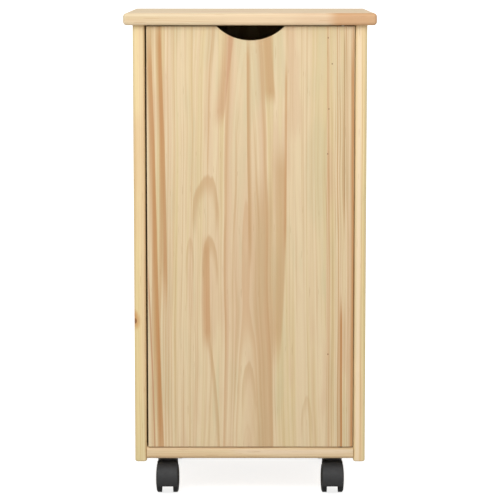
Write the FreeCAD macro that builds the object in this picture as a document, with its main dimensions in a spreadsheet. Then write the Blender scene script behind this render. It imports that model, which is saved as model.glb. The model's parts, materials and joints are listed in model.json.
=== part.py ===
import FreeCAD, Part
import math
import os
import Sketcher

# Rolling pine cabinet on four twin-wheel casters, in millimetres.
# Frame: +Z up, the door faces -Y, +X to the right of a person facing the door.
# Origin: on the floor, under the middle of the top board.

doc = FreeCAD.newDocument("rolling_cabinet")

# ---------------------------------------------------------------- driving dimensions
SIZES = {
    # top board
    "top_width": 420, "top_depth": 380, "total_height": 815, "board": 20, "edge_round": 6,
    # case
    "case_width": 390, "front_set": 15, "rear_set": 5, "panel_low": 57, "foot_round": 3,
    "floor_low": 62, "back_thick": 4, "rabbet_wide": 8,
    # shelves
    "shelf_thick": 16, "shelf_front": 50, "shelf_gap": 0.5, "low_shelf_top": 325,
    "high_shelf_top": 568, "shelf_pin_radius": 2.5, "shelf_pin_out": 8, "shelf_pin_in": 10,
    "shelf_pin_inset": 45, "front_pin_inset": 30, "shelf_round": 2,
    # door
    "door_thick": 18, "gap_left": 2.7, "gap_right": 0.7, "gap_top": 2, "gap_low": 1.1,
    "door_round": 3, "door_ease": 1, "cutout_radius": 80, "cutout_depth": 23.5, "cutout_corner": 2,
    # door pivots
    "pivot_in": 20, "pivot_back": 7, "pivot_radius": 2.5, "running_gap": 0.05, "pivot_in_door": 22,
    "pivot_out": 10, "bush_radius": 4, "bush_depth": 10.5, "flange_radius": 5, "flange_thick": 1,
    # magnetic catch
    "catch_height": 46, "catch_wide": 14, "catch_long": 15, "catch_middle": 703, "catch_gap": 0.2,
    "magnet_height": 22, "magnet_wide": 6, "magnet_long": 9, "pole_thick": 1.2, "pole_proud": 0.4,
    "catch_screw_inset": 6,
    "strike_height": 34, "strike_wide": 12, "strike_thick": 0.8, "strike_shift": 1,
    "strike_screw_inset": 3.5,
    # joinery
    "dowel_radius": 4, "dowel_length": 30, "dowel_in_top": 10, "dowel_row": 125,
    "bolt_radius": 2.5, "bolt_thread_radius": 3, "bolt_thread": 10, "bolt_reach": 24, "bolt_row": 75,
    "cam_radius": 7.5, "cam_thick": 14, "cam_slot": 1.5, "bolt_under_cam": 2,
    # casters
    "caster_side": 140.5, "caster_row": 133, "trail": 20, "wheel_radius": 25, "wheel_half": 20,
    "tread_inner": 9.7, "rim_wall": 2.7, "rim_slope": 3.2, "rim_round": 1.6, "dome_rise": 1.4,
    "dome_middle_rise": 0.4, "dome_wall": 2.6, "hub_inner": 8.8, "hub_radius": 6.5,
    "axle_end_gap": 0.2,
    "axle_radius": 3, "axle_half": 17, "fender_inner": 26.2, "fender_outer": 29, "fender_half": 17.5,
    "fender_sweep": 200, "fender_round": 1.8, "web_half": 2.5, "web_hub_radius": 7, "web_hub_half": 8.5,
    "boss_radius": 17, "boss_top": 58, "boss_low": 37, "socket_radius": 7.5, "socket_low": 31,
    "stem_radius": 4, "stem_low": 36, "stem_ease": 1, "bore_low": 34.5, "groove_middle": 42,
    "groove_depth": 0.8, "groove_half": 0.7, "ring_out": 0.8, "ring_in": 0.7, "ring_half": 0.5,
    "ring_room": 1.2, "ring_room_half": 1,
    "plate_size": 42, "plate_thick": 2, "plate_corner": 4, "plate_disc_radius": 12,
    "plate_disc_gap": 0.1, "screw_spacing": 32,
    # screws and nails
    "screw_radius": 2, "screw_head_radius": 3.7, "screw_head": 2, "screw_length": 14,
    "small_screw_radius": 1.5, "small_head_radius": 3, "small_head": 1.2, "small_length": 12,
    "nail_radius": 0.8, "nail_head_radius": 1.8, "nail_head": 0.8, "nail_length": 20,
    "nail_inset": 40, "nail_spacing": 100, "point_radius": 0.2, "back_gap": 0.5,
}

sheet = doc.addObject("Spreadsheet::Sheet", "size")
for row, (alias, value) in enumerate(SIZES.items(), start=1):
    sheet.set("A%d" % row, alias.replace("_", " "))
    sheet.set("B%d" % row, str(value))
    sheet.setAlias("B%d" % row, alias)
doc.recompute()

# ---------------------------------------------------------------- expressions used often
CASE_FRONT = "(size.front_set - size.top_depth / 2)"
CASE_BACK = "(size.top_depth / 2 - size.rear_set)"
INNER = "(size.case_width / 2 - size.board)"
TOP_LOW = "(size.total_height - size.board)"
FLOOR_TOP = "(size.floor_low + size.board)"
INSIDE_BACK = "(size.top_depth / 2 - size.rear_set - size.back_thick)"
DOOR_LEFT = "(size.gap_left - " + INNER + ")"
DOOR_RIGHT = "(" + INNER + " - size.gap_right)"
DOOR_BACK = "(" + CASE_FRONT + " + size.door_thick)"
DOOR_TOP = "(" + TOP_LOW + " - size.gap_top)"
DOOR_LOW = "(" + FLOOR_TOP + " + size.gap_low)"
PIVOT_X = "(" + DOOR_RIGHT + " - size.pivot_in)"
PIVOT_Y = "(" + CASE_FRONT + " + size.pivot_back)"
AXES = {"X": (FreeCAD.Vector(0, 1, 0), 90), "-X": (FreeCAD.Vector(0, 1, 0), -90),
        "Y": (FreeCAD.Vector(1, 0, 0), -90), "-Y": (FreeCAD.Vector(1, 0, 0), 90),
        "Z": (FreeCAD.Vector(0, 0, 1), 0), "-Z": (FreeCAD.Vector(1, 0, 0), 180)}


# ---------------------------------------------------------------- helpers
def bind(item, **expressions):
    """Bind properties of an object to spreadsheet expressions."""
    for prop, text in expressions.items():
        item.setExpression(prop, text)


def place(item, x="0", y="0", z="0", axis="Z", spin=0):
    """Turn an object's own +Z to an axis, spin it about that axis, and bind its position."""
    turn = FreeCAD.Rotation(*AXES[axis]) * FreeCAD.Rotation(FreeCAD.Vector(0, 0, 1), spin)
    item.Placement = FreeCAD.Placement(FreeCAD.Vector(), turn)
    for letter, text in (("x", x), ("y", y), ("z", z)):
        item.setExpression("Placement.Base." + letter, text)
    return item


def box(name, length, width, height, x="0", y="0", z="0"):
    item = doc.addObject("Part::Box", name)
    bind(item, Length=length, Width=width, Height=height)
    return place(item, x, y, z)


def cylinder(name, radius, height, x="0", y="0", z="0", axis="Z"):
    item = doc.addObject("Part::Cylinder", name)
    bind(item, Radius=radius, Height=height)
    return place(item, x, y, z, axis)


def fuse(name, *shapes):
    item = doc.addObject("Part::MultiFuse", name)
    item.Shapes = list(shapes)
    return item


def common(name, first, second):
    item = doc.addObject("Part::Common", name)
    item.Base = first
    item.Tool = second
    return item


def cut(name, base, *tools):
    """Cut one or more tools from a base."""
    item = doc.addObject("Part::Cut", name)
    item.Base = base
    item.Tool = tools[0] if len(tools) == 1 else fuse(name + "_tools", *tools)
    return item


def copies(name, master, places, spin=0):
    """A group of separate solids: links to one master at bound places (x, y, z, axis)."""
    links = []
    for number, (x, y, z, axis) in enumerate(places, start=1):
        link = doc.addObject("App::Link", "%s_%d" % (name, number))
        link.LinkedObject = master
        link.LinkTransform = False
        links.append(place(link, x, y, z, axis, spin))
    group = doc.addObject("Part::Compound", name)
    group.Links = links
    return group


def new_body(name):
    return doc.addObject("PartDesign::Body", name)


def new_sketch(body, name, role):
    """A sketch on one of the body's own origin planes."""
    plane = [item for item in body.Origin.OriginFeatures if item.Role == role][0]
    sketch = body.newObject("Sketcher::SketchObject", name)
    sketch.AttachmentSupport = [(plane, "")]
    sketch.MapMode = "FlatFace"
    return sketch


def outline(sketch, points):
    """A closed outline of straight lines; each corner's place is bound to (across, up)."""
    guess = [FreeCAD.Vector(10 * math.cos(-turn), 10 * math.sin(-turn), 0)
             for turn in [2 * math.pi * index / len(points) for index in range(len(points))]]
    for index, start in enumerate(guess):
        end = guess[(index + 1) % len(guess)]
        sketch.addGeometry(Part.LineSegment(start, end), False)
    for index in range(len(points)):
        following = (index + 1) % len(points)
        sketch.addConstraint(Sketcher.Constraint("Coincident", index, 2, following, 1))
    for index, (across, up) in enumerate(points):
        for kind, text in (("DistanceX", across), ("DistanceY", up)):
            number = sketch.addConstraint(Sketcher.Constraint(kind, -1, 1, index, 1, 1.0))
            sketch.setExpression("Constraints[%d]" % number, text)


def rectangle(sketch, left, right, low, high):
    outline(sketch, [(left, low), (right, low), (right, high), (left, high)])


def pad(body, sketch, name, length):
    item = body.newObject("PartDesign::Pad", name)
    item.Profile = sketch
    bind(item, Length=length)
    return item


def revolve(body, sketch, name, axis, degrees=None):
    """Turn a sketch about one of its own axes, all the way round unless told otherwise."""
    item = body.newObject("PartDesign::Revolution", name)
    item.Profile = sketch
    item.ReferenceAxis = (sketch, [axis])
    item.Angle = 360
    if degrees:
        bind(item, Angle=degrees)
    return item


def round_edges(body, base, name, radius, wanted):
    """Round the edges of a feature for which wanted(edge middle, edge direction) is true."""
    doc.recompute()
    names = []
    for number, edge in enumerate(base.Shape.Edges, start=1):
        if edge.Degenerated:
            continue
        halfway = (edge.FirstParameter + edge.LastParameter) / 2
        if wanted(edge.valueAt(halfway), edge.tangentAt(halfway)):
            names.append("Edge%d" % number)
    item = body.newObject("PartDesign::Fillet", name)
    item.Base = (base, names)
    bind(item, Radius=radius)
    return item


def board(name, length, width, height, x, y, z, radius, wanted):
    """A wooden board: a padded rectangle with chosen edges rounded."""
    body = new_body(name)
    sketch = new_sketch(body, name + "_outline", "XY_Plane")
    rectangle(sketch, "0", length, "0", width)
    block = pad(body, sketch, name + "_pad", height)
    round_edges(body, block, name + "_rounding", radius, wanted)
    return place(body, x, y, z)


def turned(name, profile, x="0", y="0", z="0", axis="Z"):
    """A piece turned about its own +Z: profile points are (radius, height)."""
    body = new_body(name)
    sketch = new_sketch(body, name + "_profile", "XZ_Plane")
    outline(sketch, profile)
    revolve(body, sketch, name + "_turning", "V_Axis")
    return place(body, x, y, z, axis)


NODES = {}


def node(name, item):
    """Name a finished piece; the name is its Label and its file's name."""
    item.Label = name
    NODES[name] = item


# ---------------------------------------------------------------- joinery and fasteners
def headed_pin(name, radius, length, head_radius, head):
    """A nail or screw along +Z: the head's outer face at 0, a short cone at the point."""
    return turned(name, [("0", "0"), (head_radius, "0"), (head_radius, head), (radius, head),
                         (radius, length + " - " + radius), ("size.point_radius", length),
                         ("0", length)])


SIDES = [("left", "-1"), ("right", "1")]

# Dowels stand up into the top board, and lie across into the bottom board.
dowel = cylinder("dowel_master", "size.dowel_radius", "size.dowel_length")
dowel_places = []
for side, sign in SIDES:
    outward = "X" if side == "right" else "-X"
    middle = sign + " * (size.case_width / 2 - size.board / 2)"
    for row in ("-size.dowel_row", "size.dowel_row"):
        dowel_places.append((middle, row, TOP_LOW + " + size.dowel_in_top - size.dowel_length", "Z"))
        start = sign + " * (" + INNER + " + size.dowel_in_top - size.dowel_length)"
        dowel_places.append((start, row, "size.floor_low + size.board / 2", outward))
dowels = copies("corner_dowels", dowel, dowel_places)
node("corner_dowels", dowels)

# A cam bolt: its thread sits in one board, its head is held by the cam lock in the other.
bolt = turned("bolt_master", [
    ("0", "-size.bolt_reach - size.bolt_under_cam"),
    ("size.bolt_thread_radius", "-size.bolt_reach - size.bolt_under_cam"),
    ("size.bolt_thread_radius", "size.bolt_under_cam - size.bolt_reach"),
    ("size.bolt_radius", "size.bolt_under_cam - size.bolt_reach"),
    ("size.bolt_radius", "0"), ("size.bolt_thread_radius", "0"),
    ("size.bolt_thread_radius", "size.bolt_thread"), ("0", "size.bolt_thread")])
cam_disc = cylinder("cam_disc", "size.cam_radius", "size.cam_thick")
slot_low = "size.cam_thick - size.cam_slot"
cam_slots = [box("cam_slot_a", "size.cam_radius", "size.cam_slot", "2 * size.cam_slot",
                 "-size.cam_radius / 2", "-size.cam_slot / 2", slot_low),
             box("cam_slot_b", "size.cam_slot", "size.cam_radius", "2 * size.cam_slot",
                 "-size.cam_slot / 2", "-size.cam_radius / 2", slot_low)]
cam_blank = cut("cam_blank", cam_disc, *cam_slots)

CAM_TURN = 35
bolt_places = []
cam_places = []
for side, sign in SIDES:
    outward = "X" if side == "right" else "-X"
    inward = "-X" if side == "right" else "X"
    middle = sign + " * (size.case_width / 2 - size.board / 2)"
    for row in ("-size.bolt_row", "size.bolt_row"):
        bolt_places.append((middle, row, TOP_LOW, "Z"))
        cam_places.append((sign + " * (" + INNER + " + size.cam_thick)", row,
                           TOP_LOW + " - size.bolt_reach", inward))
        bolt_places.append((sign + " * " + INNER, row, "size.floor_low + size.board / 2", outward))
        cam_places.append((sign + " * (" + INNER + " - size.bolt_reach)", row,
                           "size.floor_low + size.cam_thick", "-Z"))
bolts = copies("cam_bolts", bolt, bolt_places)
node("cam_bolts", bolts)
cams_solid = copies("cam_locks_uncut", cam_blank, cam_places, CAM_TURN)
node("cam_locks", cut("cam_locks", cams_solid, bolts))
cam_space = copies("cam_space", cam_disc, cam_places, CAM_TURN)

# Nails through the back panel into the sides and the bottom board.
nail = headed_pin("nail_master", "size.nail_radius", "size.nail_length", "size.nail_head_radius",
                  "size.nail_head")
nail_places = []
NAIL_ROWS = 6
for side, sign in SIDES:
    for row in range(NAIL_ROWS):
        height = "size.floor_low + size.nail_inset + %d / %d * (%s - size.floor_low - %s)" % (
            row, NAIL_ROWS - 1, TOP_LOW, "2 * size.nail_inset")
        nail_places.append((sign + " * (" + INNER + " + size.rabbet_wide / 2)", CASE_BACK, height, "-Y"))
for across in ("-size.nail_spacing", "0", "size.nail_spacing"):
    nail_places.append((across, CASE_BACK, "size.floor_low + size.board / 2", "-Y"))
nails = copies("back_panel_nails", nail, nail_places)
node("back_panel_nails", nails)

# Shelf pins: half in the side panel, half under the shelf.
pin_length = "size.shelf_pin_in + size.shelf_pin_out"
shelf_pin = cylinder("shelf_pin_master", "size.shelf_pin_radius", pin_length)
pin_places = []
for shelf_top in ("size.low_shelf_top", "size.high_shelf_top"):
    height = shelf_top + " - size.shelf_thick - size.shelf_pin_radius"
    front = CASE_FRONT + " + size.shelf_front + size.front_pin_inset"
    for side, sign in SIDES:
        inward = "-X" if side == "right" else "X"
        for row in (front, INSIDE_BACK + " - size.shelf_pin_inset"):
            pin_places.append((sign + " * (" + INNER + " + size.shelf_pin_in)", row, height, inward))
shelf_pins = copies("shelf_pins", shelf_pin, pin_places)
node("shelf_pins", shelf_pins)

# ---------------------------------------------------------------- pivot bushes and pins
bush_profile = [("size.pivot_radius + size.running_gap", "-size.flange_thick"),
                ("size.flange_radius", "-size.flange_thick"), ("size.flange_radius", "0"),
                ("size.bush_radius", "0"), ("size.bush_radius", "size.bush_depth"),
                ("size.pivot_radius + size.running_gap", "size.bush_depth")]
top_bush = turned("top_pivot_bush", bush_profile, PIVOT_X, PIVOT_Y, TOP_LOW, "Z")
low_bush = turned("bottom_pivot_bush", bush_profile, PIVOT_X, PIVOT_Y, FLOOR_TOP, "-Z")
node("top_pivot_bush", top_bush)
node("bottom_pivot_bush", low_bush)
bush_holes = [cylinder("top_bush_hole", "size.bush_radius", "size.bush_depth",
                       PIVOT_X, PIVOT_Y, TOP_LOW, "Z"),
              cylinder("bottom_bush_hole", "size.bush_radius", "size.bush_depth",
                       PIVOT_X, PIVOT_Y, FLOOR_TOP, "-Z")]
top_pin = cylinder("top_pivot_pin", "size.pivot_radius", "size.pivot_in_door + size.pivot_out",
                   PIVOT_X, PIVOT_Y, DOOR_TOP + " - size.pivot_in_door")
low_pin = cylinder("bottom_pivot_pin", "size.pivot_radius", "size.pivot_in_door + size.pivot_out",
                   PIVOT_X, PIVOT_Y, DOOR_LOW + " - size.pivot_out")
node("top_pivot_pin", top_pin)
node("bottom_pivot_pin", low_pin)

# ---------------------------------------------------------------- magnetic catch
CATCH_FRONT = "(" + DOOR_BACK + " + size.strike_thick + size.catch_gap + size.pole_proud)"
CATCH_X = "(-" + INNER + " + size.catch_wide / 2)"
housing_block = box("catch_block", "size.catch_wide", "size.catch_long", "size.catch_height",
                    "-" + INNER, CATCH_FRONT, "size.catch_middle - size.catch_height / 2")
magnet_stack = "(size.magnet_wide + 2 * size.pole_thick)"
housing_pocket = box("catch_pocket", magnet_stack, "size.magnet_long", "size.magnet_height",
                     CATCH_X + " - " + magnet_stack + " / 2", CATCH_FRONT,
                     "size.catch_middle - size.magnet_height / 2")
magnet = box("catch_magnet", "size.magnet_wide", "size.magnet_long", "size.magnet_height",
             CATCH_X + " - size.magnet_wide / 2", CATCH_FRONT,
             "size.catch_middle - size.magnet_height / 2")
node("catch_magnet", magnet)
pole = box("pole_master", "size.pole_thick", "size.magnet_long + size.pole_proud", "size.magnet_height")
pole_y = CATCH_FRONT + " - size.pole_proud"
pole_z = "size.catch_middle - size.magnet_height / 2"
poles = copies("catch_pole_plates", pole, [
    (CATCH_X + " - " + magnet_stack + " / 2", pole_y, pole_z, "Z"),
    (CATCH_X + " + size.magnet_wide / 2", pole_y, pole_z, "Z")])
node("catch_pole_plates", poles)
small_screw = headed_pin("small_screw_master", "size.small_screw_radius", "size.small_length",
                         "size.small_head_radius", "size.small_head")
# The catch screws run sideways through the housing into the side panel.
long_screw = headed_pin("catch_screw_master", "size.small_screw_radius",
                        "size.catch_wide + size.small_length", "size.small_head_radius",
                        "size.small_head")
CATCH_SCREW_TURN = 30
catch_screws = copies("catch_screws", long_screw, [
    ("-" + INNER + " + size.catch_wide", CATCH_FRONT + " + size.catch_long / 2",
     "size.catch_middle " + shift + " (size.catch_height / 2 - size.catch_screw_inset)", "-X")
    for shift in ("-", "+")], CATCH_SCREW_TURN)
node("catch_screws", catch_screws)
node("catch_housing", cut("catch_housing", housing_block, housing_pocket, catch_screws))
strike = box("strike_block", "size.strike_wide", "size.strike_thick", "size.strike_height",
             CATCH_X + " - size.strike_wide / 2 + size.strike_shift", DOOR_BACK,
             "size.catch_middle - size.strike_height / 2")
strike_screws = copies("strike_screws", small_screw, [
    (CATCH_X + " + size.strike_shift", DOOR_BACK + " + size.strike_thick", "size.catch_middle "
     + shift + " (size.strike_height / 2 - size.strike_screw_inset)", "-Y") for shift in ("-", "+")])
node("strike_screws", strike_screws)
node("strike_plate", cut("strike_plate", strike, strike_screws))


# ---------------------------------------------------------------- casters
def caster_y(row):
    return row + " * size.caster_row"


CASTERS = [("front_left", "-1", "-1"), ("front_right", "1", "-1"),
           ("rear_left", "-1", "1"), ("rear_right", "1", "1")]
screw = headed_pin("screw_master", "size.screw_radius", "size.screw_head + size.screw_length",
                   "size.screw_head_radius", "size.screw_head")
screw_places = []
for name, sign, row in CASTERS:
    for step_x in ("-", "+"):
        for step_y in ("-", "+"):
            screw_places.append((sign + " * size.caster_side " + step_x + " size.screw_spacing / 2",
                                 caster_y(row) + " " + step_y + " size.screw_spacing / 2",
                                 "size.floor_low - size.plate_thick - size.screw_head", "Z"))
caster_screws = copies("caster_screws", screw, screw_places)
node("caster_screws", caster_screws)

# One wheel, turned about its axle: profile points are (radius, distance from the middle).
wheel_body = new_body("wheel_master")
wheel_sketch = new_sketch(wheel_body, "wheel_profile", "XZ_Plane")
outline(wheel_sketch, [
    ("size.axle_radius + size.running_gap", "size.hub_inner"),
    ("size.hub_radius", "size.hub_inner"),
    ("size.hub_radius", "size.wheel_half - size.dome_wall - size.dome_middle_rise"),
    ("size.wheel_radius - size.rim_wall", "size.wheel_half - size.dome_wall - size.dome_rise"),
    ("size.wheel_radius - size.rim_wall", "size.tread_inner"),
    ("size.wheel_radius", "size.tread_inner"),
    ("size.wheel_radius", "size.wheel_half - size.rim_slope"),
    ("size.wheel_radius - size.rim_slope", "size.wheel_half - size.dome_rise"),
    ("size.wheel_radius / 2", "size.wheel_half - size.dome_middle_rise"),
    ("0", "size.wheel_half"),
    ("0", "size.axle_half + size.axle_end_gap"),
    ("size.axle_radius + size.running_gap", "size.axle_half + size.axle_end_gap")])
wheel_turn = revolve(wheel_body, wheel_sketch, "wheel_turning", "V_Axis")


def rim_edge(middle, along):
    """The two edges of the sloped rim on a wheel's outer side."""
    slope = SIZES["rim_slope"] + 1
    radius = math.hypot(middle.x, middle.y)
    return radius > SIZES["wheel_radius"] - slope and middle.z > SIZES["wheel_half"] - slope


round_edges(wheel_body, wheel_turn, "wheel_rounding", "size.rim_round", rim_edge)

# The hood, in its own frame: the axle along X through the origin, the swivel axis behind it.
hood_shell = new_body("hood_shell")
hood_sketch = new_sketch(hood_shell, "hood_section", "XY_Plane")
rectangle(hood_sketch, "-size.fender_half", "size.fender_half", "size.fender_inner",
          "size.fender_outer")
hood_turn = revolve(hood_shell, hood_sketch, "hood_sweep", "H_Axis", "size.fender_sweep")


def outer_rim(middle, along):
    """The fender's two outer side edges."""
    radius = math.hypot(middle.y, middle.z)
    return radius > SIZES["fender_outer"] - 0.1 and abs(middle.x) > SIZES["fender_half"] - 0.1


round_edges(hood_shell, hood_turn, "hood_rounding", "size.fender_round", outer_rim)
boss = cylinder("hood_boss", "size.boss_radius", "size.boss_top - size.boss_low",
                "0", "size.trail", "size.boss_low - size.wheel_radius")
wheel_space = cylinder("wheel_space", "size.fender_inner", "2 * size.wheel_half + 2",
                       "-size.wheel_half - 1", "0", "0", "X")
hollow_boss = cut("hood_boss_trimmed", boss, wheel_space)
web_disc = cylinder("web_disc", "size.fender_inner + 1", "2 * size.web_half",
                    "-size.web_half", "0", "0", "X")
web_half_space = box("web_half_space", "2 * size.web_half", "2 * size.fender_outer",
                     "size.fender_outer", "-size.web_half", "-size.fender_outer", "0")
web = common("hood_web", web_disc, web_half_space)
web_hub = cylinder("web_hub", "size.web_hub_radius", "2 * size.web_hub_half",
                   "-size.web_hub_half", "0", "0", "X")
socket = cylinder("stem_socket", "size.socket_radius", "size.boss_top - size.socket_low",
                  "0", "size.trail", "size.socket_low - size.wheel_radius")
hood_blank = fuse("hood_blank", hood_shell, hollow_boss, web, web_hub, socket)
stem_bore = cylinder("stem_bore", "size.stem_radius + size.running_gap", "size.boss_top - size.bore_low",
                     "0", "size.trail", "size.bore_low - size.wheel_radius")
ring_groove = cylinder("ring_groove", "size.stem_radius + size.ring_room", "2 * size.ring_room_half",
                       "0", "size.trail",
                       "size.groove_middle - size.wheel_radius - size.ring_room_half")
axle_bore = cylinder("axle_bore", "size.axle_radius", "2 * size.web_hub_half + 2",
                     "-size.web_hub_half - 1", "0", "0", "X")
hood_master = cut("hood_master", hood_blank, stem_bore, ring_groove, axle_bore)

# The stem is riveted in the plate, and its ring groove holds a snap ring inside the hood.
stem_master = turned("stem_master", [
    ("0", "size.stem_low"),
    ("size.stem_radius - size.stem_ease", "size.stem_low"),
    ("size.stem_radius", "size.stem_low + size.stem_ease"),
    ("size.stem_radius", "size.groove_middle - size.groove_half"),
    ("size.stem_radius - size.groove_depth", "size.groove_middle - size.groove_half"),
    ("size.stem_radius - size.groove_depth", "size.groove_middle + size.groove_half"),
    ("size.stem_radius", "size.groove_middle + size.groove_half"),
    ("size.stem_radius", "size.floor_low"),
    ("0", "size.floor_low")])
ring_master = turned("ring_master", [
    ("size.stem_radius - size.ring_in", "size.groove_middle - size.ring_half"),
    ("size.stem_radius + size.ring_out", "size.groove_middle - size.ring_half"),
    ("size.stem_radius + size.ring_out", "size.groove_middle + size.ring_half"),
    ("size.stem_radius - size.ring_in", "size.groove_middle + size.ring_half")])

# The plate: a square with rounded corners, and a disc pressed down over the hood.
plate_body = new_body("plate_square")
plate_sketch = new_sketch(plate_body, "plate_outline", "XY_Plane")
rectangle(plate_sketch, "-size.plate_size / 2", "size.plate_size / 2", "-size.plate_size / 2",
          "size.plate_size / 2")
plate_pad = pad(plate_body, plate_sketch, "plate_pad", "size.plate_thick")
round_edges(plate_body, plate_pad, "plate_rounding", "size.plate_corner",
            lambda middle, along: abs(along.z) > 0.9)
place(plate_body, "0", "0", "size.floor_low - size.plate_thick")
plate_disc = cylinder("plate_disc", "size.plate_disc_radius",
                      "size.floor_low - size.boss_top - size.plate_disc_gap",
                      "0", "0", "size.boss_top + size.plate_disc_gap")
plate_blank = fuse("plate_blank", plate_body, plate_disc)
plate_stem_hole = cylinder("plate_stem_hole", "size.stem_radius", "size.floor_low - size.boss_top",
                           "0", "0", "size.boss_top")
screw_hole = cylinder("screw_hole_master", "size.screw_radius", "size.plate_thick")
screw_holes = copies("plate_screw_holes", screw_hole, [
    (step_x + "size.screw_spacing / 2", step_y + "size.screw_spacing / 2",
     "size.floor_low - size.plate_thick", "Z") for step_x in ("-", "") for step_y in ("-", "")])
plate_master = cut("plate_master", plate_blank, plate_stem_hole, screw_holes)
axle_master = cylinder("axle_master", "size.axle_radius", "2 * size.axle_half")

for name, sign, row in CASTERS:
    x = sign + " * size.caster_side"
    y = caster_y(row)
    axle_y = y + " - size.trail"
    pieces = [("plate", plate_master, (x, y, "0", "Z")), ("stem", stem_master, (x, y, "0", "Z")),
              ("snap_ring", ring_master, (x, y, "0", "Z")),
              ("hood", hood_master, (x, axle_y, "size.wheel_radius", "Z")),
              ("axle", axle_master, (x + " - size.axle_half", axle_y, "size.wheel_radius", "X")),
              ("left_wheel", wheel_body, (x, axle_y, "size.wheel_radius", "-X")),
              ("right_wheel", wheel_body, (x, axle_y, "size.wheel_radius", "X"))]
    for piece, master, where in pieces:
        full_name = "%s_caster_%s" % (name, piece)
        node(full_name, copies(full_name, master, [where]))


# ---------------------------------------------------------------- boards
CASE_DEPTH = SIZES["top_depth"] - SIZES["front_set"] - SIZES["rear_set"]


def every_edge(middle, along):
    return True


def front_uprights(middle, along):
    return abs(along.z) > 0.9 and middle.y < 1


def low_edges(middle, along):
    """All of a side panel's lower edges but the rear one."""
    return middle.z < 1 and middle.y < CASE_DEPTH - 1 and abs(along.z) < 0.5


top_blank = board("top_blank", "size.top_width", "size.top_depth", "size.board",
                  "-size.top_width / 2", "-size.top_depth / 2", TOP_LOW, "size.edge_round", every_edge)
node("top_board", cut("top_board", top_blank, dowels, bolts, bush_holes[0]))

case_depth = CASE_BACK + " - " + CASE_FRONT
rabbet_tools = box("rabbet_space", "2 * (" + INNER + " + size.rabbet_wide)", "size.back_thick",
                   TOP_LOW, "-" + INNER + " - size.rabbet_wide", INSIDE_BACK, "size.floor_low")
side_starts = {"left": "-size.case_width / 2", "right": INNER}
for side, sign in SIDES:
    side_blank = board("side_blank_" + side, "size.board", case_depth, TOP_LOW + " - size.panel_low",
                       side_starts[side], CASE_FRONT, "size.panel_low", "size.edge_round",
                       front_uprights)
    round_edges(side_blank, side_blank.Tip, "side_foot_" + side, "size.foot_round", low_edges)
    tools = [rabbet_tools, dowels, bolts, cam_space, shelf_pins, nails]
    if side == "left":
        tools.append(catch_screws)
    node("side_panel_" + side, cut("side_panel_" + side, side_blank, *tools))

floor_blank = board("floor_blank", "2 * " + INNER, INSIDE_BACK + " - " + CASE_FRONT, "size.board",
                    "-" + INNER, CASE_FRONT, "size.floor_low", "size.edge_round",
                    lambda middle, along: abs(along.x) > 0.9 and middle.y < 1)
node("bottom_board", cut("bottom_board", floor_blank, dowels, bolts, cam_space, nails, caster_screws,
                         bush_holes[1]))

back_blank = box("back_blank", "2 * (" + INNER + " + size.rabbet_wide - size.back_gap)",
                 "size.back_thick", TOP_LOW + " - size.floor_low - size.back_gap",
                 "-" + INNER + " - size.rabbet_wide + size.back_gap", INSIDE_BACK, "size.floor_low")
node("back_panel", cut("back_panel", back_blank, nails))

for name, shelf_top in (("lower_shelf", "size.low_shelf_top"), ("upper_shelf", "size.high_shelf_top")):
    shelf_y = "-size.top_depth / 2 + size.shelf_front"
    shelf = board(name, "2 * (" + INNER + " - size.shelf_gap)",
                  INSIDE_BACK + " - size.shelf_gap - (" + shelf_y + ")", "size.shelf_thick",
                  "-" + INNER + " + size.shelf_gap", shelf_y, shelf_top + " - size.shelf_thick",
                  "size.shelf_round",
                  lambda middle, along: abs(along.x) > 0.9 and middle.y < 1)
    node(name, shelf)

# ---------------------------------------------------------------- door
door_width = DOOR_RIGHT + " - " + DOOR_LEFT
door_blank = board("door_blank", door_width, "size.door_thick", DOOR_TOP + " - " + DOOR_LOW,
                   DOOR_LEFT, CASE_FRONT, DOOR_LOW, "size.door_round",
                   lambda middle, along: abs(along.z) > 0.9 and middle.y < 1 and middle.x > 1)
# The hinge side is rounded enough to turn past the side panel; the free side is only eased.
round_edges(door_blank, door_blank.Tip, "door_free_edge", "size.door_ease",
            lambda middle, along: abs(along.z) > 0.9 and middle.y < 1 and middle.x < 1)
DOOR_MIDDLE = "((" + DOOR_LEFT + " + " + DOOR_RIGHT + ") / 2)"
# The finger cut-out: a wide disc cut into the door's top edge, its two corners rounded off.
cutout_disc = cylinder("cutout_disc", "size.cutout_radius", "size.door_thick + 2", DOOR_MIDDLE,
                       CASE_FRONT + " - 1", DOOR_TOP + " - size.cutout_depth + size.cutout_radius", "Y")
door_cut = cut("door_cut", door_blank, cutout_disc, top_pin, low_pin, strike_screws)
door_panel = doc.addObject("Part::Fillet", "door_panel")
door_panel.Base = door_cut
doc.recompute()
half_chord = math.sqrt(SIZES["cutout_radius"] ** 2
                       - (SIZES["cutout_radius"] - SIZES["cutout_depth"]) ** 2)
door_middle = (SIZES["gap_left"] - SIZES["gap_right"]) / 2
corner_edges = []
for number, edge in enumerate(door_cut.Shape.Edges, start=1):
    middle = edge.valueAt((edge.FirstParameter + edge.LastParameter) / 2)
    at_chord_end = abs(abs(middle.x - door_middle) - half_chord) < 0.5
    if at_chord_end and abs(edge.tangentAt(edge.FirstParameter).y) > 0.9:
        corner_edges.append((number, SIZES["cutout_corner"], SIZES["cutout_corner"]))
door_panel.Edges = corner_edges
node("door_panel", door_panel)

# ---------------------------------------------------------------- checks and export
doc.recompute()
failed = [item.Name for item in doc.Objects if "Invalid" in item.State or "Error" in item.State]
if failed:
    raise RuntimeError("failed objects: " + ", ".join(failed))
for name, item in NODES.items():
    if item.Shape.isNull() or not item.Shape.isValid():
        raise RuntimeError("bad shape: " + name)

os.makedirs("parts", exist_ok=True)
for name, item in NODES.items():
    item.Shape.exportStep("parts/%s.step" % name)
print(len(NODES), "nodes written")
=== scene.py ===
import json

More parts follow.
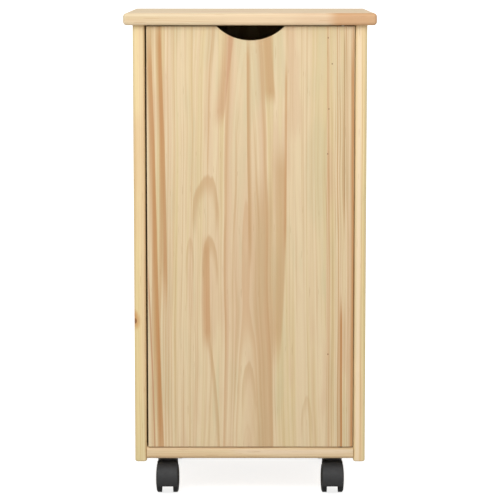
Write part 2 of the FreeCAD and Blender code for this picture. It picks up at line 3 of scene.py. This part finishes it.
import bpy
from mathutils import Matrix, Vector


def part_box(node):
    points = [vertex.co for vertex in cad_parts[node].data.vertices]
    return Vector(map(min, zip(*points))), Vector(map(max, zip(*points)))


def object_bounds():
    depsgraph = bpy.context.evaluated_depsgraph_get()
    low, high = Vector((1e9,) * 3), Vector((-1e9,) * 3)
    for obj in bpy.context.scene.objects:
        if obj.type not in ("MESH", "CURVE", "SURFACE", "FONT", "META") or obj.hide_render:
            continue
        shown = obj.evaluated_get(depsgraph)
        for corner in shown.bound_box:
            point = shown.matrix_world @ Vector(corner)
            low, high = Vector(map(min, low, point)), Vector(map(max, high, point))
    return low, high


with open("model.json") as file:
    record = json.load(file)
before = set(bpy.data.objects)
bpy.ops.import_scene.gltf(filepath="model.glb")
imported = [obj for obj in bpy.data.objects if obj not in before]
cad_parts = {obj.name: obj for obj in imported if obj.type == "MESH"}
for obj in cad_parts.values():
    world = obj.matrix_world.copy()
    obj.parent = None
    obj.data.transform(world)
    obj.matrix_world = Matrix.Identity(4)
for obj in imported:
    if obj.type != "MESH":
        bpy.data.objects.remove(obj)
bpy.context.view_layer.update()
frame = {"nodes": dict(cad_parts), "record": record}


def srgb(red, green, blue):
    """A linear colour from 0 to 255 display values."""
    values = [channel / 255 for channel in (red, green, blue)]
    return tuple(v / 12.92 if v <= 0.04045 else ((v + 0.055) / 1.055) ** 2.4 for v in values) + (1.0,)


# ---------------------------------------------------------------- shader graph helper
class Graph:
    """Short calls that add nodes to one new material; a socket or a plain value goes anywhere."""

    def __init__(self, name):
        self.material = bpy.data.materials.new(name)
        self.material.use_nodes = True
        self.tree = self.material.node_tree
        self.shader = self.tree.nodes["Principled BSDF"]
        self.object_place = self.add("ShaderNodeTexCoord", output="Object")

    def put(self, value, socket):
        if isinstance(value, bpy.types.NodeSocket):
            self.tree.links.new(value, socket)
        else:
            socket.default_value = value

    def add(self, kind, inputs=None, output=0, **settings):
        node = self.tree.nodes.new(kind)
        for key, value in settings.items():
            setattr(node, key, value)
        for key, value in (inputs or {}).items():
            self.put(value, node.inputs[key])
        return node.outputs[output]

    def math(self, operation, *values):
        return self.add("ShaderNodeMath", dict(enumerate(values)), operation=operation)

    def sum(self, *values):
        total = values[0]
        for value in values[1:]:
            total = self.math("ADD", total, value)
        return total

    def times(self, first, second):
        return self.math("MULTIPLY", first, second)

    def split(self, vector):
        node = self.tree.nodes.new("ShaderNodeSeparateXYZ")
        self.put(vector, node.inputs[0])
        return list(node.outputs)

    def join(self, x, y, z):
        return self.add("ShaderNodeCombineXYZ", {0: x, 1: y, 2: z})

    def noise(self, vector, scale=1.0, detail=2.0, rough=0.5):
        return self.add("ShaderNodeTexNoise", {"Vector": vector, "Scale": scale, "Detail": detail,
                                               "Roughness": rough}, "Fac")

    def wander(self, along, seed, detail):
        """Slow noise of one number, from about -0.5 to 0.5."""
        value = self.add("ShaderNodeTexNoise", {"W": self.math("ADD", along, seed), "Scale": 1.0,
                                                "Detail": detail}, "Fac", noise_dimensions="1D")
        return self.math("SUBTRACT", value, 0.5)

    def random(self, number):
        """A random colour for each number: three channels from 0 to 1."""
        return self.add("ShaderNodeTexWhiteNoise", {"W": number}, "Color", noise_dimensions="1D")

    def steps(self, factor, stops):
        """Three numbers that stay the same from one stop to the next."""
        node = self.tree.nodes.new("ShaderNodeValToRGB")
        node.color_ramp.interpolation = "CONSTANT"
        elements = node.color_ramp.elements
        while len(elements) < len(stops):
            elements.new(0.5)
        for element, (position, colour) in zip(elements, stops):
            element.position = position
            element.color = (*colour, 1.0)
        self.put(factor, node.inputs[0])
        return node.outputs[0]

    def fade(self, value, low, high, to_low=0.0, to_high=1.0):
        """Maps low..high smoothly to to_low..to_high and holds it there outside."""
        return self.add("ShaderNodeMapRange", {0: value, 1: low, 2: high, 3: to_low, 4: to_high},
                        interpolation_type="SMOOTHSTEP")

    def mix(self, factor, first, second, blend="MIX"):
        return self.add("ShaderNodeMix", {0: factor, 6: first, 7: second}, 2, data_type="RGBA",
                        blend_type=blend)

    def bump(self, height, strength, distance):
        normal = self.add("ShaderNodeBump", {"Height": height, "Strength": strength,
                                             "Distance": distance})
        self.put(normal, self.shader.inputs["Normal"])

    def finish(self, **shader_inputs):
        for key, value in shader_inputs.items():
            self.put(value, self.shader.inputs[key.replace("_", " ")])
        return self.material


# ---------------------------------------------------------------- pine
CREAM = srgb(229, 206, 166)
STRAW = srgb(220, 197, 148)
PINK = srgb(219, 187, 150)
PALE = srgb(234, 210, 184)
TAN = srgb(200, 160, 114)
ORANGE = srgb(194, 138, 84)
DEEP = srgb(188, 128, 70)
BROWN = srgb(176, 132, 84)
RED_BROWN = srgb(196, 142, 104)
GREEN_GREY = srgb(206, 194, 152)
KNOT = srgb(118, 70, 38)
AXIS = {"x": 0, "y": 1, "z": 2}
# How fine each layer of the wood's figure is, in waves for each metre.
FIBRE_SCALE = 1300.0
FLECK_SCALE = 520.0
LINE_SCALE = 420.0
HUE_SCALE = 95.0
RIPPLE_SCALE = 60.0
CLOUD_SCALE = 34.0
STAVE_FACTS = ["pith_across", "pith_depth", "spacing", "tilt_across", "tilt_depth", "contrast",
               "middle", "curve", "pink"]
STAVE_RANGES = [(-0.08, 0.08), (0.0, 0.08), (0.0, 0.008), (-0.1, 0.1), (-0.1, 0.1), (0.0, 1.0),
                (0.0, 0.8), (-0.2, 0.2), (0.0, 1.0)]


def spread(graph, channel, limits):
    """Turns a 0 to 1 channel back into a number between two limits."""
    low, high = limits
    return graph.sum(graph.times(channel, high - low), low)


def even_staves(graph, across, width, seed):
    """Glued staves of one width, each with random growth rings. Returns its facts as sockets."""
    place = graph.sum(graph.times(across, 1 / width), seed * 0.37)
    index = graph.math("FLOOR", place)
    part = graph.math("FRACT", place)
    channels = []
    for offset in (0.0, 31.7, 77.1):
        channels += graph.split(graph.random(graph.sum(index, seed + offset)))
    limits = [(-0.05, 0.05), (0.022, 0.06), (0.0026, 0.0045), (-0.008, 0.008), (-0.014, 0.014),
              (0.2, 0.65), (0.1, 0.7), (-0.02, 0.02), (0.0, 1.0)]
    facts = {name: spread(graph, channel, limit)
             for name, channel, limit in zip(STAVE_FACTS, channels, limits)}
    facts["across"] = graph.times(graph.math("SUBTRACT", part, 0.5), width)
    facts["index"] = index
    facts["edge"] = graph.times(graph.math("MINIMUM", part, graph.math("SUBTRACT", 1.0, part)), width)
    return facts


def listed_staves(graph, across, start, staves):
    """Staves of given widths: each row is a width and then the nine STAVE_FACTS."""
    total = sum(row[0] for row in staves)
    factor = graph.times(graph.math("SUBTRACT", across, start), 1 / total)
    lefts = [sum(row[0] for row in staves[:number]) for number in range(len(staves))]
    sockets = []
    for first in (0, 3, 6):
        stops = []
        for left, row in zip(lefts, staves):
            colour = [(row[1 + first + k] - STAVE_RANGES[first + k][0])
                      / (STAVE_RANGES[first + k][1] - STAVE_RANGES[first + k][0]) for k in range(3)]
            stops.append((left / total, tuple(colour)))
        channels = graph.split(graph.steps(factor, stops))
        sockets += [spread(graph, channel, limit)
                    for channel, limit in zip(channels, STAVE_RANGES[first:first + 3])]
    centre_stops = []
    edge = 1.0
    for number, (left, row) in enumerate(zip(lefts, staves)):
        centre_stops.append((left / total, ((left + row[0] / 2) / total, number / len(staves), 0.0)))
        if number:
            apart = graph.math("ABSOLUTE", graph.math("SUBTRACT", across, start + left))
            edge = graph.math("MINIMUM", edge, apart)
    centre, index = graph.split(graph.steps(factor, centre_stops))[:2]
    facts = dict(zip(STAVE_FACTS, sockets))
    facts["across"] = graph.math("SUBTRACT", across, spread(graph, centre, (start, start + total)))
    facts["index"] = graph.times(index, float(len(staves)))
    facts["edge"] = edge
    return facts


def distance(graph, centre, squeeze):
    """Distance from a point, with each axis scaled first."""
    offset = graph.add("ShaderNodeVectorMath", {0: graph.object_place, 1: centre}, operation="SUBTRACT")
    scaled = graph.add("ShaderNodeVectorMath", {0: offset, 1: squeeze}, operation="MULTIPLY")
    return graph.add("ShaderNodeVectorMath", {0: scaled}, "Value", operation="LENGTH")


def add_streak(graph, colour, u, w, wobble, ends, places, half, tint, power, sharp=1.0):
    """A darker band along the grain. ends is (first w, last w), places is u at the start, the
    middle and the end, and sharp is the side, +1 or -1, whose edge is crisp."""
    first, last = ends
    start, middle, end = places
    t = graph.times(graph.math("SUBTRACT", w, first), 1 / (last - first))
    square = graph.times(t, t)
    centre = graph.sum(start, graph.times(t, 4 * middle - 3 * start - end),
                       graph.times(square, 2 * start - 4 * middle + 2 * end))
    away = graph.times(graph.math("SUBTRACT", graph.sum(u, wobble), centre), sharp)
    soft = graph.fade(away, -1.5 * half, 0.2 * half)
    crisp = graph.fade(away, 0.7 * half, 1.05 * half, 1.0, 0.0)
    along = graph.times(graph.fade(t, -0.02, 0.14), graph.fade(t, 0.8, 1.02, 1.0, 0.0))
    mask = graph.times(graph.times(soft, crisp), graph.times(along, power))
    return graph.mix(mask, colour, tint)


def add_arch(graph, colour, w, ripple, centre, half_width, half_height, tint, power):
    """The rounded top of a cathedral: a soft line that is crisp on its outer side."""
    near = distance(graph, centre, (1 / half_width, 0.0, 1 / half_height))
    near = graph.sum(near, graph.times(ripple, 0.6), -0.3)
    mask = graph.times(graph.fade(near, 0.45, 0.92), graph.fade(near, 0.98, 1.1, 1.0, 0.0))
    upper = graph.fade(w, centre[2] - 0.45 * half_height, centre[2] + 0.3 * half_height)
    return graph.mix(graph.times(graph.times(mask, upper), power), colour, tint)


def pine(name, across, through, along, face, staves=None, start=0.0, width=0.062, seed=1.0,
         knots=(), streaks=(), bands=(), arches=(), specks=(), contrast=1.0, tone=(1.0, 1.0, 1.0)):
    """Clear-lacquered, edge-glued pine. The growth rings are a solid texture: each stave has its own
    pith line, so faces, edges and end grain agree. face is where the show face lies along through.
    A knot bends the rings round a point: (centre, radius, squeeze, push). Streaks are placed across
    the show face and bands through the board. tone tints a board."""
    graph = Graph(name)
    parts = graph.split(graph.object_place)
    u, v, w = parts[AXIS[across]], parts[AXIS[through]], parts[AXIS[along]]
    stave = (listed_staves(graph, u, start, staves) if staves
             else even_staves(graph, u, width, seed))
    shift = graph.sum(graph.times(stave["index"], 5.13), seed)
    slow = graph.sum(graph.times(w, 2.1), shift)
    from_middle = graph.math("SUBTRACT", w, stave["middle"])
    bend = graph.times(graph.times(from_middle, from_middle), stave["curve"])
    sway = graph.times(graph.wander(slow, 3.1, 2.0), 0.009)
    du = graph.sum(stave["across"], graph.times(stave["pith_across"], -1.0),
                   graph.times(from_middle, stave["tilt_across"]), sway)
    dv = graph.sum(graph.math("SUBTRACT", v, face), stave["pith_depth"],
                   graph.times(from_middle, stave["tilt_depth"]), bend,
                   graph.times(graph.wander(slow, 9.7, 2.0), 0.007))
    ripple = graph.noise(graph.join(graph.sum(graph.times(u, RIPPLE_SCALE), shift),
                                    graph.times(v, RIPPLE_SCALE),
                                    graph.sum(graph.times(w, 5.0), shift)), 1.0, 2.0)
    radius = graph.sum(graph.math("SQRT", graph.sum(graph.times(du, du), graph.times(dv, dv))),
                       graph.times(ripple, 0.0022))
    for centre, size, squeeze, push in knots:
        near = distance(graph, centre, squeeze)
        radius = graph.sum(radius, graph.fade(near, 0.0, size, push, 0.0))

    phase = graph.sum(graph.math("DIVIDE", radius, stave["spacing"]),
                      graph.times(graph.wander(graph.times(radius, 110.0), 2.0, 1.0), 1.6))
    part = graph.math("FRACT", phase)
    power = graph.split(graph.random(graph.sum(graph.math("FLOOR", phase), shift)))[0]
    power = graph.sum(graph.times(graph.math("POWER", power, 2.2), 0.9), 0.1)
    rise = graph.fade(part, 0.25, 0.9)
    drop = graph.fade(part, 0.93, 1.0, 1.0, 0.0)
    late = graph.times(graph.times(graph.times(rise, drop), power),
                       graph.times(stave["contrast"], contrast))

    # Tones that follow the rings: broad hue bands, then finer lines of lighter and darker wood.
    ring_place = graph.join(graph.sum(graph.times(radius, HUE_SCALE), shift), graph.times(w, 0.9), shift)
    hue = graph.noise(ring_place, 1.0, 2.0, 0.5)
    line_place = graph.join(graph.sum(graph.times(radius, LINE_SCALE), shift), graph.times(w, 2.2), shift)
    lines = graph.noise(line_place, 1.0, 3.0, 0.6)
    fibre_place = graph.join(graph.times(u, FIBRE_SCALE), graph.times(v, FIBRE_SCALE), graph.times(w, 20.0))
    fibre = graph.noise(fibre_place, 1.0, 3.0, 0.65)

    colour = graph.mix(graph.fade(hue, 0.48, 0.68, 0.0, 0.85), CREAM, STRAW)
    pinkness = graph.times(graph.fade(hue, 0.5, 0.32), graph.sum(graph.times(stave["pink"], 0.75), 0.15))
    colour = graph.mix(pinkness, colour, PINK)
    cloud_place = graph.join(graph.sum(graph.times(u, CLOUD_SCALE), shift), graph.times(v, 20.0),
                             graph.sum(graph.times(w, 5.0), shift))
    cloud = graph.noise(cloud_place, 1.0, 2.0, 0.5)
    colour = graph.mix(graph.fade(cloud, 0.5, 0.7, 0.0, 0.42), colour, GREEN_GREY)
    colour = graph.mix(graph.fade(cloud, 0.48, 0.32, 0.0, 0.55), colour, PINK)
    colour = graph.mix(graph.times(graph.fade(lines, 0.48, 0.68, 0.0, 0.75 * contrast),
                                   graph.sum(graph.times(stave["contrast"], 0.8), 0.35)), colour, TAN)
    colour = graph.mix(late, colour, ORANGE)
    wobble = graph.sum(sway, graph.times(ripple, 0.002))
    for streak in streaks:
        colour = add_streak(graph, colour, u, w, graph.sum(graph.times(wobble, 0.5), -0.0005), *streak)
    for band in bands:
        colour = add_streak(graph, colour, v, w, graph.times(wobble, 0.2), *band)
    for arch in arches:
        colour = add_arch(graph, colour, w, ripple, *arch)
    shade = graph.mix(fibre, (0.82, 0.80, 0.76, 1), (1.12, 1.12, 1.12, 1))
    colour = graph.mix(0.4, colour, shade, "MULTIPLY")
    fleck_place = graph.join(graph.sum(graph.times(u, FLECK_SCALE), shift), graph.times(v, FLECK_SCALE),
                             graph.times(w, 30.0))
    fleck = graph.fade(graph.noise(fleck_place, 1.0, 0.0), 0.77, 0.82)
    colour = graph.mix(graph.times(fleck, 0.35), colour, BROWN)
    for centre, size, squeeze, push in knots:
        near = distance(graph, centre, squeeze)
        colour = graph.mix(graph.fade(near, size * 0.22, size * 0.8, 0.7, 0.0), colour, ORANGE)
        colour = graph.mix(graph.fade(near, size * 0.17, size * 0.25, 0.85, 0.0), colour, KNOT)
    for centre in specks:
        near = distance(graph, centre, (1.0, 0.1, 0.8))
        colour = graph.mix(graph.fade(near, 0.0006, 0.0015, 0.7, 0.0), colour, KNOT)
    glue = graph.fade(stave["edge"], 0.0001, 0.0008, 0.3, 0.0)
    colour = graph.mix(glue, colour, TAN)
    colour = graph.mix(1.0, colour, (*tone, 1), "MULTIPLY")
    height = graph.sum(graph.times(fibre, 0.5), graph.times(late, 0.6))
    graph.bump(height, 0.1, 0.0005)
    return graph.finish(Base_Color=colour, Roughness=graph.fade(late, 0.0, 0.8, 0.62, 0.50), IOR=1.5,
                        Specular_IOR_Level=0.3, Coat_Weight=0.03, Coat_Roughness=0.5)


# ---------------------------------------------------------------- other materials
def plywood():
    """Rotary-cut sheet: long soft cathedral waves of low contrast."""
    graph = Graph("plywood_back")
    u, v, w = graph.split(graph.object_place)
    wave = graph.noise(graph.join(graph.times(u, 9.0), graph.times(v, 9.0), graph.times(w, 1.6)),
                       1.0, 3.0, 0.55)
    rings = graph.math("FRACT", graph.sum(graph.times(wave, 9.0), graph.times(u, 6.0)))
    late = graph.times(graph.fade(rings, 0.3, 0.9), graph.fade(rings, 0.93, 1.0, 1.0, 0.0))
    fibre = graph.noise(graph.join(graph.times(u, 700.0), graph.times(v, 700.0), graph.times(w, 12.0)),
                        1.0, 3.0, 0.6)
    colour = graph.mix(graph.times(late, 0.38), srgb(226, 199, 158), srgb(196, 154, 108))
    colour = graph.mix(0.6, colour, graph.mix(fibre, (0.84, 0.82, 0.78, 1), (1.1, 1.1, 1.1, 1)), "MULTIPLY")
    graph.bump(fibre, 0.2, 0.0005)
    return graph.finish(Base_Color=colour, Roughness=graph.fade(fibre, 0.3, 0.7, 0.55, 0.7))


def plain_surface(name, base, varied, rough_low, rough_high, scale, bump=0.1, metallic=0.0, **extra):
    """Plastic or metal with fine mottling in colour, gloss and relief."""
    graph = Graph(name)
    fine = graph.noise(graph.object_place, scale, 4.0, 0.6)
    broad = graph.noise(graph.object_place, scale / 18, 2.0)
    spread = graph.fade(graph.sum(graph.times(fine, 0.6), graph.times(broad, 0.4)), 0.3, 0.7)
    graph.bump(fine, bump, 0.0002)
    return graph.finish(Base_Color=graph.mix(spread, base, varied), Metallic=metallic,
                        Roughness=graph.fade(spread, 0.0, 1.0, rough_low, rough_high), **extra)


DOOR_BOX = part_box("door_panel")
DOOR_FACE = DOOR_BOX[0][1]
# Door staves from left to right: width, then the STAVE_FACTS.
DOOR_STAVES = [
    (0.0770, -0.060, 0.030, 0.0046, -0.012, 0.004, 0.42, 0.45, 0.000, 0.75),
    (0.0426, 0.028, 0.030, 0.0046, -0.010, 0.012, 0.30, 0.45, 0.000, 0.30),
    (0.0909, 0.000, 0.044, 0.0040, 0.006, 0.020, 0.40, 0.60, 0.010, 0.80),
    (0.0900, 0.055, 0.040, 0.0046, 0.004, -0.006, 0.15, 0.30, 0.010, 0.15),
    (0.0461, 0.070, 0.030, 0.0034, 0.006, 0.004, 0.85, 0.40, 0.000, 0.40)]
# Bands that stand out on the door: (first w, last w), u at start, middle and end, half width,
# colour, strength and crisp side.
DOOR_STREAKS = [
    ((0.830, -0.040), (-0.1700, -0.1596, -0.1470), 0.0056, DEEP, 0.75, 1.0),
    ((0.830, 0.300), (-0.1545, -0.1470, -0.1425), 0.0054, DEEP, 0.68, 1.0),
    ((0.400, -0.050), (-0.1720, -0.1632, -0.1622), 0.0014, RED_BROWN, 0.85, 1.0),
    ((0.445, 0.245), (-0.0745, -0.0735, -0.0725), 0.0070, ORANGE, 0.60, 1.0),
    ((0.290, -0.050), (-0.0735, -0.0560, -0.0530), 0.0034, TAN, 0.60, 1.0),
    ((0.800, 0.620), (-0.0320, -0.0430, -0.0540), 0.0090, RED_BROWN, 0.55, 1.0),
    ((0.790, 0.380), (-0.0030, -0.0015, 0.0015), 0.0036, TAN, 0.90, -1.0),
    ((0.800, 0.660), (0.0245, 0.0275, 0.0330), 0.0120, TAN, 0.85, 1.0),
    ((0.560, -0.050), (0.0190, 0.0210, 0.0200), 0.0190, TAN, 0.60, 1.0),
    ((0.600, 0.210), (0.0480, 0.0490, 0.0380), 0.0120, TAN, 0.70, 1.0),
    ((0.740, 0.400), (0.0600, 0.0590, 0.0585), 0.0024, ORANGE, 0.55, 1.0),
    ((0.800, 0.440), (0.1570, 0.1576, 0.1580), 0.0012, BROWN, 0.75, 1.0),
    ((0.350, -0.080), (0.1520, 0.1534, 0.1540), 0.0026, DEEP, 0.90, 1.0),
    ((0.820, -0.060), (0.1700, 0.1710, 0.1705), 0.0032, ORANGE, 0.85, 1.0)]
# Cathedral tops on the door: centre, half width, half height, colour, strength.
DOOR_ARCHES = [
    ((-0.0740, DOOR_FACE, 0.465), 0.0220, 0.072, TAN, 0.62),
    ((-0.0660, DOOR_FACE, 0.375), 0.0130, 0.066, TAN, 0.60),
    ((-0.1010, DOOR_FACE, 0.385), 0.0070, 0.055, TAN, 0.35),
    ((0.0960, DOOR_FACE, 0.110), 0.0100, 0.060, TAN, 0.30),
    ((-0.0020, DOOR_FACE, 0.150), 0.0120, 0.075, TAN, 0.45)]
DOOR_SPECKS = [Vector((x, DOOR_FACE, z)) for x, z in (
    (0.1298, 0.774), (0.1366, 0.731), (0.1315, 0.656), (0.1298, 0.581), (0.1315, 0.242))]
PANEL_KNOTS = [(Vector((-0.1940, DOOR_FACE, 0.299)), 0.019, Vector((1.2, 1.0, 0.75)), 0.004),
               (Vector((-0.1955, DOOR_FACE, 0.310)), 0.011, Vector((1.3, 1.0, 0.60)), 0.002)]
TOP_STREAKS = [((0.125, 0.290), (-0.188, -0.188, -0.188), 0.012, ORANGE, 0.72, 1.0)]
RIGHT_BANDS = [
    ((0.850, -0.050), (0.1812, 0.1814, 0.1812), 0.0042, PALE, 0.80, 1.0),
    ((0.850, -0.050), (0.1875, 0.1872, 0.1874), 0.0010, RED_BROWN, 0.35, 1.0),
    ((0.850, -0.050), (0.1930, 0.1932, 0.1930), 0.0016, GREEN_GREY, 0.45, -1.0)]
BASE_BANDS = [
    ((-0.040, 0.200), (0.0740, 0.0730, 0.0745), 0.0050, PALE, 0.50, 1.0),
    ((-0.200, 0.060), (0.0665, 0.0672, 0.0660), 0.0030, TAN, 0.35, -1.0)]
SIDE_TONE = (1.07, 1.09, 1.02)

WOODS = {
    "door_panel": pine("pine_door", "x", "y", "z", DOOR_FACE, DOOR_STAVES, DOOR_BOX[0][0], seed=4.0,
                       streaks=DOOR_STREAKS, arches=DOOR_ARCHES, specks=DOOR_SPECKS,
                       tone=(0.95, 0.965, 0.99)),
    "top_board": pine("pine_top", "y", "z", "x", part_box("top_board")[1][2], seed=11.0,
                      streaks=TOP_STREAKS, contrast=0.45, tone=(1.03, 1.04, 1.13)),
    "side_panel_left": pine("pine_left_side", "y", "x", "z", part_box("side_panel_left")[0][0],
                            seed=21.0, knots=PANEL_KNOTS, contrast=0.7, tone=SIDE_TONE),
    "side_panel_right": pine("pine_right_side", "y", "x", "z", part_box("side_panel_right")[1][0],
                             seed=33.0, bands=RIGHT_BANDS, contrast=0.7, tone=SIDE_TONE),
    "bottom_board": pine("pine_bottom", "y", "z", "x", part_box("bottom_board")[1][2], seed=45.0,
                         bands=BASE_BANDS),
    "lower_shelf": pine("pine_lower_shelf", "y", "z", "x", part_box("lower_shelf")[1][2], seed=57.0),
    "upper_shelf": pine("pine_upper_shelf", "y", "z", "x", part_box("upper_shelf")[1][2], seed=63.0),
    "back_panel": plywood()}

ZINC = plain_surface("zinc_plated_steel", (0.60, 0.61, 0.62, 1), (0.72, 0.73, 0.74, 1), 0.26, 0.42,
                     900.0, 0.05, 1.0)
FINISHES = {
    "beech_dowel": plain_surface("beech", srgb(206, 170, 128), srgb(190, 150, 108), 0.5, 0.65, 500.0),
    "zinc_steel": ZINC,
    "die_cast_zinc": plain_surface("die_cast_zinc", (0.42, 0.43, 0.44, 1), (0.55, 0.55, 0.56, 1),
                                   0.38, 0.55, 700.0, 0.15, 1.0),
    "nylon": plain_surface("nylon", srgb(85, 78, 70), srgb(76, 69, 61), 0.4, 0.5, 600.0),
    "brown_plastic": plain_surface("brown_plastic", srgb(93, 75, 60), srgb(84, 67, 53), 0.38,
                                   0.48, 800.0, 0.12),
    "magnet": plain_surface("sintered_magnet", srgb(58, 56, 55), srgb(40, 39, 38), 0.5, 0.7, 1500.0, 0.3),
    "hood_plastic": plain_surface("hood_plastic", srgb(43, 43, 44), srgb(37, 37, 38), 0.55, 0.65,
                                  2600.0, 0.25),
    "wheel_plastic": plain_surface("wheel_plastic", srgb(15, 15, 16), srgb(11, 11, 12), 0.4, 0.5,
                                   1800.0, 0.12)}
SLOTS = {row["node"]: row["material_slot"] for row in frame["record"]["subparts"]}


def dress(name, item):
    """Gives a CAD node its one material."""
    material = WOODS.get(name) or FINISHES[SLOTS[name]]
    item.data.materials.clear()
    item.data.materials.append(material)


for node_name, node_object in frame["nodes"].items():
    dress(node_name, node_object)


# ---------------------------------------------------------------- floor, light and camera
LOW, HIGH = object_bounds()
TOP_FRONT = Vector((0.0, LOW.y, HIGH.z))
CAMERA_AWAY = 3.8           # from the top board's front edge
CAMERA_ABOVE = 0.086        # above the top board
SENSOR = 36.0
TOP_SHARE = 0.5065          # the top board's width as a share of the picture's width
AIM_LIFT = 0.0118           # how far the camera's aim is above half height
AIM_BACK = 0.015            # and behind the top board's front edge
FLOOR_SIZE = 80.0
FLOOR_GREY = 0.6
FLOOR_GLOW = 0.8            # seen by the camera only, so this glow lights nothing
DOME_LIGHT = 0.8
HORIZON_LIGHT = 1.15
KEY_PLACE = (-0.25, -1.5, 1.45)
KEY_TARGET = (0, 0, 0.75)
KEY_SIZE = (1.2, 0.7)
KEY_WATTS = 13


def add_floor():
    bpy.ops.mesh.primitive_plane_add(size=FLOOR_SIZE, location=(0, 0, 0))
    floor = bpy.context.object
    floor.name = "studio_floor"
    graph = Graph("studio_floor")
    seen = graph.add("ShaderNodeLightPath", {}, "Is Camera Ray")
    graph.finish(Base_Color=(FLOOR_GREY, FLOOR_GREY, FLOOR_GREY, 1), Roughness=0.9,
                 Emission_Color=(1, 1, 1, 1), Emission_Strength=graph.times(seen, FLOOR_GLOW))
    floor.data.materials.append(graph.material)


def add_area(name, place, target, size, power):
    light = bpy.data.lights.new(name, "AREA")
    light.shape = "RECTANGLE"
    light.size, light.size_y = size
    light.energy = power
    holder = bpy.data.objects.new(name, light)
    bpy.context.collection.objects.link(holder)
    holder.location = place
    holder.rotation_euler = (Vector(target) - Vector(place)).to_track_quat("-Z", "Y").to_euler()


def add_world(dome, horizon):
    """A soft dome with a brighter band near the horizon, so the backdrop looks white."""
    world = bpy.data.worlds.new("studio")
    world.use_nodes = True
    nodes, links = world.node_tree.nodes, world.node_tree.links
    place = nodes.new("ShaderNodeTexCoord")
    parts = nodes.new("ShaderNodeSeparateXYZ")
    links.new(place.outputs["Generated"], parts.inputs[0])
    fade = nodes.new("ShaderNodeMapRange")
    links.new(parts.outputs["Z"], fade.inputs["Value"])
    fade.inputs["From Min"].default_value = 0.06
    fade.inputs["From Max"].default_value = 0.22
    fade.inputs["To Min"].default_value = horizon
    fade.inputs["To Max"].default_value = dome
    background = nodes["Background"]
    background.inputs["Color"].default_value = (1, 1, 1, 1)
    links.new(fade.outputs["Result"], background.inputs["Strength"])
    bpy.context.scene.world = world


def add_camera():
    data = bpy.data.cameras.new("camera")
    camera = bpy.data.objects.new("camera", data)
    bpy.context.collection.objects.link(camera)
    camera.location = TOP_FRONT + Vector((0, -CAMERA_AWAY, CAMERA_ABOVE))
    aim = Vector((0, LOW.y + AIM_BACK, (LOW.z + HIGH.z) / 2 + AIM_LIFT))
    camera.rotation_euler = (aim - camera.location).to_track_quat("-Z", "Y").to_euler()
    data.sensor_width = SENSOR
    data.lens = SENSOR * TOP_SHARE * CAMERA_AWAY / (HIGH.x - LOW.x)
    data.clip_end = 200
    bpy.context.scene.camera = camera


add_floor()
add_world(DOME_LIGHT, HORIZON_LIGHT)
add_area("key", KEY_PLACE, KEY_TARGET, KEY_SIZE, KEY_WATTS)
add_camera()
bpy.context.scene.view_settings.view_transform = "Standard"
